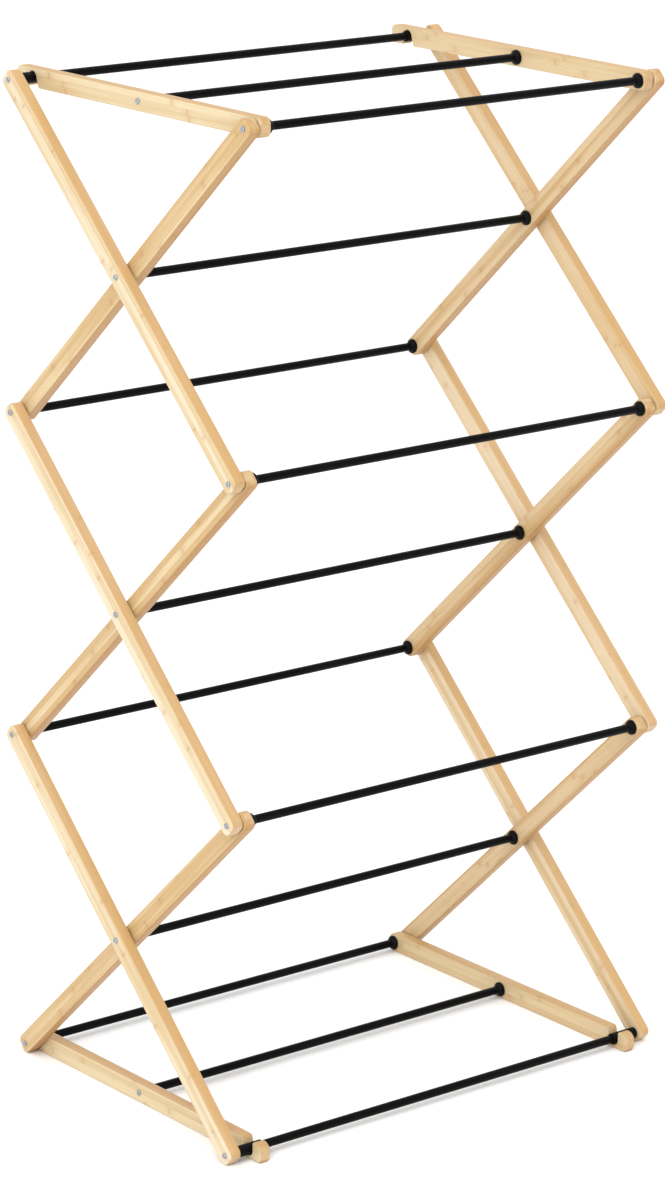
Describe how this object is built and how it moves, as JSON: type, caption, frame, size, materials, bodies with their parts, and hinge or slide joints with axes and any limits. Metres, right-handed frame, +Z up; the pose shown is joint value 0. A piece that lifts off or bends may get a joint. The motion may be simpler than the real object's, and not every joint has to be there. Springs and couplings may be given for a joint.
{
  "type": "folding drying rack",
  "caption": "Free-standing folding laundry rack: two bamboo lattice sides joined by thin black rods, held open by hooked top and bottom rails.",
  "frame": {"origin": "on the floor, under the middle of the overall box", "axes": "+X along the rods to the right side seen from the front, -Y towards the front (the side where the bottom rails hook on), +Z up; feet on Z = 0"},
  "size_m": [0.5772, 0.421, 1.0705],
  "materials": {
    "outer_bamboo": "satin",
    "inner_bamboo": "satin",
    "rail_bamboo": "satin",
    "black_rod": "satin",
    "black_plastic": "matte",
    "zinc": "satin"
  },
  "bodies": {
    "base": {"bottom_rail_left": "rail_bamboo", "bottom_rail_right": "rail_bamboo", "rod_bottom_middle": "black_rod", "screw_bottom_middle_left": "zinc", "screw_bottom_middle_right": "zinc", "rod_bottom_back": "black_rod", "screw_bottom_back_left": "zinc", "screw_bottom_back_right": "zinc"},
    "lower_inner": {"inner_arm_lower_left": "inner_bamboo", "inner_arm_lower_right": "inner_bamboo", "rod_cross_lower": "black_rod", "screw_cross_lower_left": "zinc", "screw_cross_lower_right": "zinc", "rod_front_lower": "black_rod", "screw_front_lower_left": "zinc", "screw_front_lower_right": "zinc"},
    "lower_outer": {"outer_arm_lower_left": "outer_bamboo", "outer_arm_lower_right": "outer_bamboo", "rod_bottom_front": "black_rod", "screw_bottom_front_left": "zinc", "screw_bottom_front_right": "zinc", "hook_sleeve_bottom_front_left": "black_plastic", "hook_sleeve_bottom_front_right": "black_plastic", "rod_back_lower": "black_rod", "screw_back_lower_left": "zinc", "screw_back_lower_right": "zinc"},
    "middle_inner": {"inner_arm_middle_left": "inner_bamboo", "inner_arm_middle_right": "inner_bamboo", "rod_cross_middle": "black_rod", "screw_cross_middle_left": "zinc", "screw_cross_middle_right": "zinc", "rod_front_upper": "black_rod", "screw_front_upper_left": "zinc", "screw_front_upper_right": "zinc"},
    "middle_outer": {"outer_arm_middle_left": "outer_bamboo", "outer_arm_middle_right": "outer_bamboo", "rod_back_upper": "black_rod", "screw_back_upper_left": "zinc", "screw_back_upper_right": "zinc"},
    "upper_inner": {"inner_arm_upper_left": "inner_bamboo", "inner_arm_upper_right": "inner_bamboo", "rod_cross_upper": "black_rod", "screw_cross_upper_left": "zinc", "screw_cross_upper_right": "zinc", "rod_top_front": "black_rod", "screw_top_front_left": "zinc", "screw_top_front_right": "zinc"},
    "upper_outer": {"outer_arm_upper_left": "outer_bamboo", "outer_arm_upper_right": "outer_bamboo", "rod_top_back": "black_rod", "screw_top_back_left": "zinc", "screw_top_back_right": "zinc", "hook_sleeve_top_back_left": "black_plastic", "hook_sleeve_top_back_right": "black_plastic"},
    "top_frame": {"top_rail_left": "rail_bamboo", "top_rail_right": "rail_bamboo", "rod_top_middle": "black_rod", "screw_top_middle_left": "zinc", "screw_top_middle_right": "zinc"}
  },
  "joints": [
    {"name": "fold", "type": "hinge", "parent": "base", "child": "lower_inner", "pos_m": [0, 0.1835, 0.01025], "axis": [1, 0, 0], "range_deg": [0, 38.6]},
    {"name": "lower_cross", "type": "hinge", "parent": "lower_inner", "child": "lower_outer", "pos_m": [0, -0.0035, 0.18525], "axis": [1, 0, 0], "range_deg": [-77.2, 0]},
    {"name": "lower_front_pivot", "type": "hinge", "parent": "lower_inner", "child": "middle_outer", "pos_m": [0, -0.1905, 0.36025], "axis": [1, 0, 0], "range_deg": [-77.2, 0]},
    {"name": "lower_back_pivot", "type": "hinge", "parent": "lower_outer", "child": "middle_inner", "pos_m": [0, 0.1835, 0.36025], "axis": [1, 0, 0], "range_deg": [0, 77.2]},
    {"name": "upper_back_pivot", "type": "hinge", "parent": "middle_outer", "child": "upper_inner", "pos_m": [0, 0.1835, 0.71025], "axis": [1, 0, 0], "range_deg": [0, 77.2]},
    {"name": "upper_front_pivot", "type": "hinge", "parent": "middle_inner", "child": "upper_outer", "pos_m": [0, -0.1905, 0.71025], "axis": [1, 0, 0], "range_deg": [-77.2, 0]},
    {"name": "top_frame_lift", "type": "hinge", "parent": "upper_inner", "child": "top_frame", "pos_m": [0, -0.1905, 1.06025], "axis": [1, 0, 0], "range_deg": [0, 140]}
  ],
  "couplings": [
    {"joint": "lower_cross", "follows": "fold", "ratio": -2},
    {"joint": "lower_front_pivot", "follows": "fold", "ratio": -2},
    {"joint": "lower_back_pivot", "follows": "fold", "ratio": 2},
    {"joint": "upper_back_pivot", "follows": "fold", "ratio": 2},
    {"joint": "upper_front_pivot", "follows": "fold", "ratio": -2}
  ]
}
